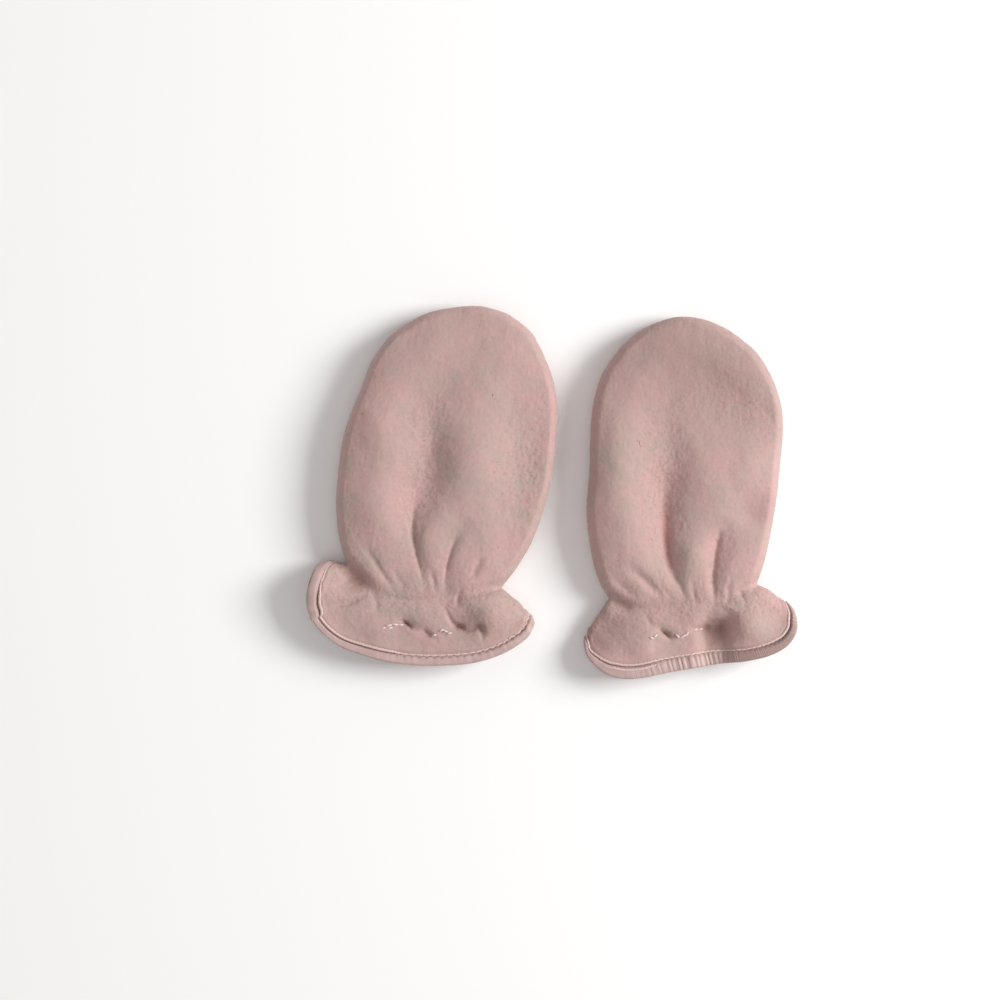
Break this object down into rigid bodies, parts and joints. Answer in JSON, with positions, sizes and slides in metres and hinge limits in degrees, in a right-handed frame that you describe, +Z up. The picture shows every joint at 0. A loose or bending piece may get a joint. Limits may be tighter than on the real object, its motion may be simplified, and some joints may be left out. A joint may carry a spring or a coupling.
{
  "type": "pair of baby mittens",
  "caption": "Pair of thumbless baby scratch mittens in pale pink fleece, laid flat side by side, with gathered wrists, open cuffs and overlocked hems.",
  "frame": {"origin": "on the surface that the pair lies on, under the middle of the pair's box", "axes": "+Z up from the surface, +Y from the wrists to the fingertips, +X across the pair from the left mitten to the right one"},
  "size_m": [0.1717, 0.1304, 0.0177],
  "materials": {
    "fleece": "matt brushed fleece with a short felted nap",
    "hem_thread": "soft satin overlock thread, wound side by side",
    "elastic": "matt woven elastic with fine ribs along it"
  },
  "bodies": {
    "root": {"left_back_panel": "fleece", "left_palm_panel": "fleece", "left_hem_binding": "hem_thread", "left_wrist_elastic": "elastic", "right_back_panel": "fleece", "right_palm_panel": "fleece", "right_hem_binding": "hem_thread", "right_wrist_elastic": "elastic"}
  },
  "joints": []
}
